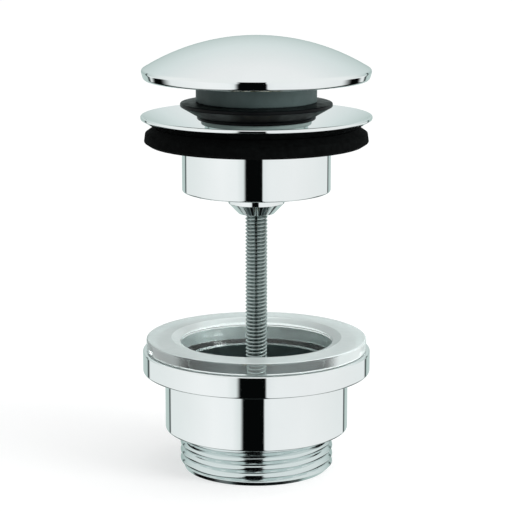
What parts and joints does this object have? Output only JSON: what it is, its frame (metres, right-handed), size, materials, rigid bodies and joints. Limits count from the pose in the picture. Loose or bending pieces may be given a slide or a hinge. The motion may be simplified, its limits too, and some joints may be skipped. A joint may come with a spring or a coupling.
{
  "type": "pop up basin waste",
  "caption": "Push-open basin waste: domed chrome plug with a rubber lip seal on a sprung stem, dished flange and cup, long clamping screw and a threaded outlet body with a clear gasket.",
  "frame": {"origin": "centre of the outlet end, on the surface that the part stands on", "axes": "+Z along the common axis of all pieces, from the outlet up to the plug; +X and +Y are free, with an arm of the outlet's spider along +Y"},
  "size_m": [0.062, 0.062, 0.1183],
  "materials": {
    "chrome": "polished plating",
    "steel": "zinc plated",
    "brass": "turned",
    "black_rubber": "smooth",
    "foam_rubber": "matte foam",
    "clear_rubber": "clear, slightly frosted",
    "grey_plastic": "moulded",
    "light_plastic": "moulded",
    "white_plastic": "moulded"
  },
  "bodies": {
    "valve": {"valve_body": "chrome", "flange_gasket": "foam_rubber", "cartridge_barrel": "brass", "cartridge_cap": "brass", "stem_seal": "black_rubber", "cartridge_washer": "white_plastic", "return_spring": "steel", "screw_washer": "steel"},
    "plug": {"cap": "chrome", "plug_carrier": "grey_plastic", "lip_seal": "black_rubber", "seal_retainer": "light_plastic", "stem_insert": "brass", "lock_nut": "brass", "plunger": "white_plastic"},
    "rotor": {"index_rotor": "light_plastic"},
    "screw": {"clamp_screw": "steel"},
    "outlet": {"outlet_body": "chrome", "lower_gasket": "clear_rubber", "thread_insert": "brass"}
  },
  "joints": [
    {"name": "plug_press", "type": "slide", "parent": "valve", "child": "plug", "axis": [0, 0, 1], "range_m": [-0.0079, 0], "stiffness_N_per_m": 500, "springref_m": 0.01, "deforming": ["return_spring"]},
    {"name": "rotor_index", "type": "hinge", "parent": "plug", "child": "rotor", "pos_m": [0, 0, 0.0948], "axis": [0, 0, 1], "range_deg": [0, 45.1]},
    {"name": "screw_turn", "type": "hinge", "parent": "valve", "child": "screw", "pos_m": [0, 0, 0.0468], "axis": [0, 0, 1], "range_deg": [-16210, 0]},
    {"name": "clamp_slide", "type": "slide", "parent": "valve", "child": "outlet", "axis": [0, 0, 1], "range_m": [0, 0.045]}
  ],
  "couplings": [
    {"joint": "rotor_index", "follows": "plug_press", "rad_per_m": -99.418},
    {"joint": "screw_turn", "follows": "clamp_slide", "rad_per_m": -6283.2}
  ]
}
